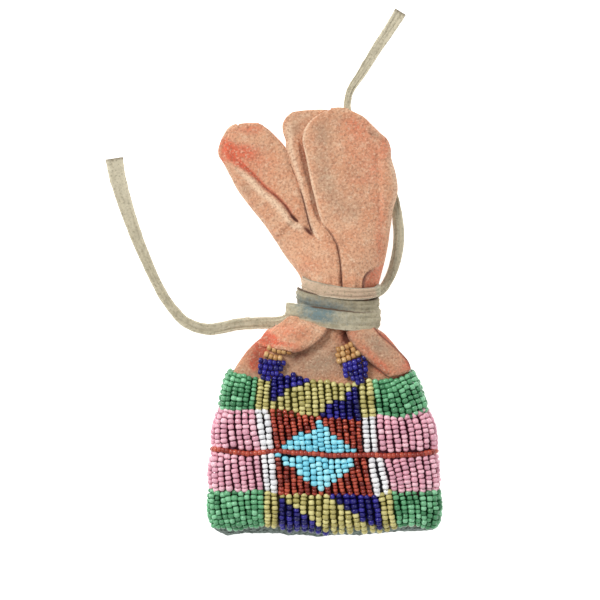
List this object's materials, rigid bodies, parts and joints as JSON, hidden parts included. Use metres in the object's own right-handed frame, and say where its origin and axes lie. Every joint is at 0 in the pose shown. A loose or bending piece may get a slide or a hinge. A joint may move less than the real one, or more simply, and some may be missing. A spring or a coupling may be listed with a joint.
{
  "type": "beaded paint bag",
  "caption": "Small hide pouch for pigment with lanes of stitched seed beads, a wound thong tie with two free tails, and soft mouth lobes above the tie, lying on its back.",
  "frame": {"origin": "on the surface the bag lies on, under the middle of the bag without the tie's tails", "axes": "+X to the right as seen from the front, +Y from the bottom seam towards the mouth, +Z out of the beaded front"},
  "size_m": [0.0937, 0.147, 0.0157],
  "materials": {
    "hide": "smoke-tanned suede rubbed with ochre",
    "hide_inner": "suede stained with ochre",
    "hide_seam": "soiled hide edge",
    "thong": "soft hide thong",
    "ochre": "packed pigment powder",
    "green_beads": "greasy opaque glass",
    "pink_beads": "opaque glass",
    "white_beads": "opaque glass",
    "red_beads": "translucent glass",
    "turquoise_beads": "opaque glass",
    "gold_beads": "greasy opaque glass",
    "tan_beads": "opaque glass",
    "blue_beads": "translucent glass"
  },
  "bodies": {
    "pouch": {"paint_fill": "ochre", "pouch_front": "hide", "pouch_back": "hide", "bottom_seam": "hide_seam", "neck_gather": "hide", "shoulder_pleat_left": "hide", "shoulder_pleat_right": "hide", "tab_left_gold": "tan_beads", "tab_left_blue": "blue_beads", "tab_right_gold": "tan_beads", "tab_right_blue": "blue_beads", "middle_bead_string": "red_beads", "mouth_throat": "hide", "mouth_lobe_middle": "hide", "mouth_back": "hide_inner", "tie_wraps": "thong", "tie_tail_left": "thong", "tie_tail_right": "thong", "back_lane_1": "green_beads", "back_lane_2": "pink_beads", "back_lane_3": "pink_beads", "back_lane_4": "green_beads", "lane_1_green_left": "green_beads", "lane_1_gold_band": "gold_beads", "lane_1_blue_left": "blue_beads", "lane_1_blue_right": "blue_beads", "lane_1_green_right": "green_beads", "lane_4_green_left": "green_beads", "lane_4_gold_band": "gold_beads", "lane_4_blue_left": "blue_beads", "lane_4_blue_right": "blue_beads", "lane_4_green_right": "green_beads", "lane_2_pink_left": "pink_beads", "lane_2_pink_right": "pink_beads", "lane_2_white_left": "white_beads", "lane_2_white_right": "white_beads", "lane_2_red_field": "red_beads", "lane_2_turquoise": "turquoise_beads", "lane_3_pink_left": "pink_beads", "lane_3_pink_right": "pink_beads", "lane_3_white_left": "white_beads", "lane_3_white_right": "white_beads", "lane_3_red_field": "red_beads", "lane_3_turquoise": "turquoise_beads"},
    "left_lobe": {"mouth_lobe_left": "hide"},
    "right_lobe": {"mouth_lobe_right": "hide"}
  },
  "joints": [
    {"name": "left_lobe_lift", "type": "hinge", "parent": "pouch", "child": "left_lobe", "pos_m": [-0.0076, 0.022, 0.0071], "axis": [0.9089, 0.417, 0], "range_deg": [0, 60]},
    {"name": "right_lobe_lift", "type": "hinge", "parent": "pouch", "child": "right_lobe", "pos_m": [0.00974, 0.01165, 0.0129], "axis": [1, 0, 0], "range_deg": [0, 60]}
  ]
}
